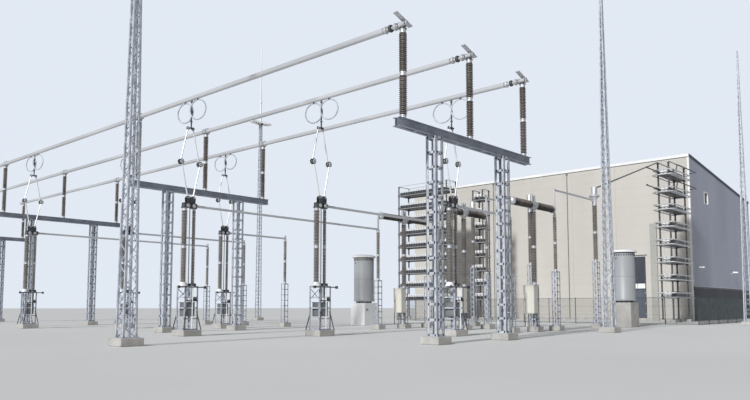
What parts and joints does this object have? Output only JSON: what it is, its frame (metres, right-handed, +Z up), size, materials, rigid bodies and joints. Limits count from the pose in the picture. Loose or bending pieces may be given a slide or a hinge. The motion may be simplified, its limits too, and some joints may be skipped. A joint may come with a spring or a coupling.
{
  "type": "converter station, 1:10 scale model",
  "caption": "Scale model of a converter station: hall, busbars on lattice portals, pantograph disconnectors, breakers, capacitor towers and masts.",
  "frame": {"origin": "middle of the underside of the hall's floor slab, at ground level", "axes": "+Z up, +Y along the busbars away from the near portal, +X from the yard through the hall"},
  "size_m": [9.925, 6.85, 3.5353],
  "materials": {
    "aluminium_tube": "satin",
    "arm_aluminium": "satin",
    "beige_paint": "satin",
    "blue_grey_cladding": "matte",
    "brown_porcelain": "glossy",
    "can_grey": "satin",
    "cast_aluminium": "matte",
    "concrete": "matte",
    "cream_cladding": "matte",
    "dark_casting": "matte",
    "dark_cladding": "matte",
    "dark_door": "satin",
    "dark_fence": "satin",
    "galvanised_steel": "matte",
    "grey_paint": "satin",
    "plinth_white": "satin",
    "roof_sheet": "matte",
    "white_trim": "satin",
    "window_glass": "glossy"
  },
  "bodies": {
    "station": {"back_wall": "cream_cladding", "breaker_insulators": "brown_porcelain", "busbar_fittings": "cast_aluminium", "busbar_posts": "brown_porcelain", "busbars": "aluminium_tube", "cabinets": "beige_paint", "capacitor_cans": "can_grey", "capacitor_racks": "galvanised_steel", "disconnector_columns": "brown_porcelain", "disconnector_heads": "dark_casting", "door_louvre": "dark_door", "equipment_pedestals": "galvanised_steel", "equipment_posts": "brown_porcelain", "far_gable": "blue_grey_cladding", "feeders": "aluminium_tube", "fence": "dark_fence", "fixed_contacts": "aluminium_tube", "footings": "concrete", "front_wall_far": "cream_cladding", "front_wall_near": "cream_cladding", "front_wall_over_door": "cream_cladding", "gable_band": "dark_cladding", "gable_window": "window_glass", "hall_floor": "concrete", "hall_roof": "roof_sheet", "hall_trim": "white_trim", "lamp_platform": "galvanised_steel", "lattice_masts": "galvanised_steel", "near_gable": "blue_grey_cladding", "portal_beams": "galvanised_steel", "portal_legs": "galvanised_steel", "reactor_plinths": "plinth_white", "reactor_tanks": "grey_paint", "terminal_fittings": "cast_aluminium", "wall_lamps": "cast_aluminium"},
    "hall_door": {"hall_door": "dark_door"},
    "pole_1c_lower_left": {"pole_1c_lower_left": "arm_aluminium"},
    "pole_1c_upper_left": {"pole_1c_upper_left": "arm_aluminium"},
    "pole_1c_lower_right": {"pole_1c_lower_right": "arm_aluminium"},
    "pole_1c_upper_right": {"pole_1c_upper_right": "arm_aluminium"},
    "pole_1b_lower_left": {"pole_1b_lower_left": "arm_aluminium"},
    "pole_1b_upper_left": {"pole_1b_upper_left": "arm_aluminium"},
    "pole_1b_lower_right": {"pole_1b_lower_right": "arm_aluminium"},
    "pole_1b_upper_right": {"pole_1b_upper_right": "arm_aluminium"},
    "pole_1a_lower_left": {"pole_1a_lower_left": "arm_aluminium"},
    "pole_1a_upper_left": {"pole_1a_upper_left": "arm_aluminium"},
    "pole_1a_lower_right": {"pole_1a_lower_right": "arm_aluminium"},
    "pole_1a_upper_right": {"pole_1a_upper_right": "arm_aluminium"},
    "pole_2c_lower_left": {"pole_2c_lower_left": "arm_aluminium"},
    "pole_2c_upper_left": {"pole_2c_upper_left": "arm_aluminium"},
    "pole_2c_lower_right": {"pole_2c_lower_right": "arm_aluminium"},
    "pole_2c_upper_right": {"pole_2c_upper_right": "arm_aluminium"},
    "pole_2b_lower_left": {"pole_2b_lower_left": "arm_aluminium"},
    "pole_2b_upper_left": {"pole_2b_upper_left": "arm_aluminium"},
    "pole_2b_lower_right": {"pole_2b_lower_right": "arm_aluminium"},
    "pole_2b_upper_right": {"pole_2b_upper_right": "arm_aluminium"},
    "pole_2a_lower_left": {"pole_2a_lower_left": "arm_aluminium"},
    "pole_2a_upper_left": {"pole_2a_upper_left": "arm_aluminium"},
    "pole_2a_lower_right": {"pole_2a_lower_right": "arm_aluminium"},
    "pole_2a_upper_right": {"pole_2a_upper_right": "arm_aluminium"}
  },
  "joints": [
    {"name": "pole_1c_lower_left_fold", "type": "hinge", "parent": "station", "child": "pole_1c_lower_left", "pos_m": [-6.817, -2.55, 0.785], "axis": [0, -1, 0], "range_deg": [0, 62]},
    {"name": "pole_1c_upper_left_fold", "type": "hinge", "parent": "pole_1c_lower_left", "child": "pole_1c_upper_left", "pos_m": [-6.862, -2.55, 0.98807], "axis": [0, 1, 0], "range_deg": [0, 124]},
    {"name": "pole_1c_lower_right_fold", "type": "hinge", "parent": "station", "child": "pole_1c_lower_right", "pos_m": [-6.783, -2.55, 0.785], "axis": [0, 1, 0], "range_deg": [0, 62]},
    {"name": "pole_1c_upper_right_fold", "type": "hinge", "parent": "pole_1c_lower_right", "child": "pole_1c_upper_right", "pos_m": [-6.738, -2.55, 0.98807], "axis": [0, -1, 0], "range_deg": [0, 124]},
    {"name": "pole_1b_lower_left_fold", "type": "hinge", "parent": "station", "child": "pole_1b_lower_left", "pos_m": [-7.317, -1.988, 0.785], "axis": [0, -1, 0], "range_deg": [0, 62]},
    {"name": "pole_1b_upper_left_fold", "type": "hinge", "parent": "pole_1b_lower_left", "child": "pole_1b_upper_left", "pos_m": [-7.362, -1.988, 0.98807], "axis": [0, 1, 0], "range_deg": [0, 124]},
    {"name": "pole_1b_lower_right_fold", "type": "hinge", "parent": "station", "child": "pole_1b_lower_right", "pos_m": [-7.283, -1.988, 0.785], "axis": [0, 1, 0], "range_deg": [0, 62]},
    {"name": "pole_1b_upper_right_fold", "type": "hinge", "parent": "pole_1b_lower_right", "child": "pole_1b_upper_right", "pos_m": [-7.238, -1.988, 0.98807], "axis": [0, -1, 0], "range_deg": [0, 124]},
    {"name": "pole_1a_lower_left_fold", "type": "hinge", "parent": "station", "child": "pole_1a_lower_left", "pos_m": [-7.817, -1.426, 0.785], "axis": [0, -1, 0], "range_deg": [0, 62]},
    {"name": "pole_1a_upper_left_fold", "type": "hinge", "parent": "pole_1a_lower_left", "child": "pole_1a_upper_left", "pos_m": [-7.862, -1.426, 0.98807], "axis": [0, 1, 0], "range_deg": [0, 124]},
    {"name": "pole_1a_lower_right_fold", "type": "hinge", "parent": "station", "child": "pole_1a_lower_right", "pos_m": [-7.783, -1.426, 0.785], "axis": [0, 1, 0], "range_deg": [0, 62]},
    {"name": "pole_1a_upper_right_fold", "type": "hinge", "parent": "pole_1a_lower_right", "child": "pole_1a_upper_right", "pos_m": [-7.738, -1.426, 0.98807], "axis": [0, -1, 0], "range_deg": [0, 124]},
    {"name": "pole_2c_lower_left_fold", "type": "hinge", "parent": "station", "child": "pole_2c_lower_left", "pos_m": [-6.817, -0.375, 0.785], "axis": [0, -1, 0], "range_deg": [0, 62]},
    {"name": "pole_2c_upper_left_fold", "type": "hinge", "parent": "pole_2c_lower_left", "child": "pole_2c_upper_left", "pos_m": [-6.862, -0.375, 0.98807], "axis": [0, 1, 0], "range_deg": [0, 124]},
    {"name": "pole_2c_lower_right_fold", "type": "hinge", "parent": "station", "child": "pole_2c_lower_right", "pos_m": [-6.783, -0.375, 0.785], "axis": [0, 1, 0], "range_deg": [0, 62]},
    {"name": "pole_2c_upper_right_fold", "type": "hinge", "parent": "pole_2c_lower_right", "child": "pole_2c_upper_right", "pos_m": [-6.738, -0.375, 0.98807], "axis": [0, -1, 0], "range_deg": [0, 124]},
    {"name": "pole_2b_lower_left_fold", "type": "hinge", "parent": "station", "child": "pole_2b_lower_left", "pos_m": [-7.317, 0.187, 0.785], "axis": [0, -1, 0], "range_deg": [0, 62]},
    {"name": "pole_2b_upper_left_fold", "type": "hinge", "parent": "pole_2b_lower_left", "child": "pole_2b_upper_left", "pos_m": [-7.362, 0.187, 0.98807], "axis": [0, 1, 0], "range_deg": [0, 124]},
    {"name": "pole_2b_lower_right_fold", "type": "hinge", "parent": "station", "child": "pole_2b_lower_right", "pos_m": [-7.283, 0.187, 0.785], "axis": [0, 1, 0], "range_deg": [0, 62]},
    {"name": "pole_2b_upper_right_fold", "type": "hinge", "parent": "pole_2b_lower_right", "child": "pole_2b_upper_right", "pos_m": [-7.238, 0.187, 0.98807], "axis": [0, -1, 0], "range_deg": [0, 124]},
    {"name": "pole_2a_lower_left_fold", "type": "hinge", "parent": "station", "child": "pole_2a_lower_left", "pos_m": [-7.817, 0.749, 0.785], "axis": [0, -1, 0], "range_deg": [0, 62]},
    {"name": "pole_2a_upper_left_fold", "type": "hinge", "parent": "pole_2a_lower_left", "child": "pole_2a_upper_left", "pos_m": [-7.862, 0.749, 0.98807], "axis": [0, 1, 0], "range_deg": [0, 124]},
    {"name": "pole_2a_lower_right_fold", "type": "hinge", "parent": "station", "child": "pole_2a_lower_right", "pos_m": [-7.783, 0.749, 0.785], "axis": [0, 1, 0], "range_deg": [0, 62]},
    {"name": "pole_2a_upper_right_fold", "type": "hinge", "parent": "pole_2a_lower_right", "child": "pole_2a_upper_right", "pos_m": [-7.738, 0.749, 0.98807], "axis": [0, -1, 0], "range_deg": [0, 124]},
    {"name": "hall_door_swing", "type": "hinge", "parent": "station", "child": "hall_door", "pos_m": [-1.3, -1.55, 0.03], "axis": [0, 0, 1], "range_deg": [0, 100]}
  ],
  "couplings": [
    {"joint": "pole_1c_upper_left_fold", "follows": "pole_1c_lower_left_fold", "ratio": 2},
    {"joint": "pole_1c_lower_right_fold", "follows": "pole_1c_lower_left_fold", "ratio": 1},
    {"joint": "pole_1c_upper_right_fold", "follows": "pole_1c_lower_left_fold", "ratio": 2},
    {"joint": "pole_1b_lower_left_fold", "follows": "pole_1c_lower_left_fold", "ratio": 1},
    {"joint": "pole_1b_upper_left_fold", "follows": "pole_1c_lower_left_fold", "ratio": 2},
    {"joint": "pole_1b_lower_right_fold", "follows": "pole_1c_lower_left_fold", "ratio": 1},
    {"joint": "pole_1b_upper_right_fold", "follows": "pole_1c_lower_left_fold", "ratio": 2},
    {"joint": "pole_1a_lower_left_fold", "follows": "pole_1c_lower_left_fold", "ratio": 1},
    {"joint": "pole_1a_upper_left_fold", "follows": "pole_1c_lower_left_fold", "ratio": 2},
    {"joint": "pole_1a_lower_right_fold", "follows": "pole_1c_lower_left_fold", "ratio": 1},
    {"joint": "pole_1a_upper_right_fold", "follows": "pole_1c_lower_left_fold", "ratio": 2},
    {"joint": "pole_2c_upper_left_fold", "follows": "pole_2c_lower_left_fold", "ratio": 2},
    {"joint": "pole_2c_lower_right_fold", "follows": "pole_2c_lower_left_fold", "ratio": 1},
    {"joint": "pole_2c_upper_right_fold", "follows": "pole_2c_lower_left_fold", "ratio": 2},
    {"joint": "pole_2b_lower_left_fold", "follows": "pole_2c_lower_left_fold", "ratio": 1},
    {"joint": "pole_2b_upper_left_fold", "follows": "pole_2c_lower_left_fold", "ratio": 2},
    {"joint": "pole_2b_lower_right_fold", "follows": "pole_2c_lower_left_fold", "ratio": 1},
    {"joint": "pole_2b_upper_right_fold", "follows": "pole_2c_lower_left_fold", "ratio": 2},
    {"joint": "pole_2a_lower_left_fold", "follows": "pole_2c_lower_left_fold", "ratio": 1},
    {"joint": "pole_2a_upper_left_fold", "follows": "pole_2c_lower_left_fold", "ratio": 2},
    {"joint": "pole_2a_lower_right_fold", "follows": "pole_2c_lower_left_fold", "ratio": 1},
    {"joint": "pole_2a_upper_right_fold", "follows": "pole_2c_lower_left_fold", "ratio": 2}
  ]
}
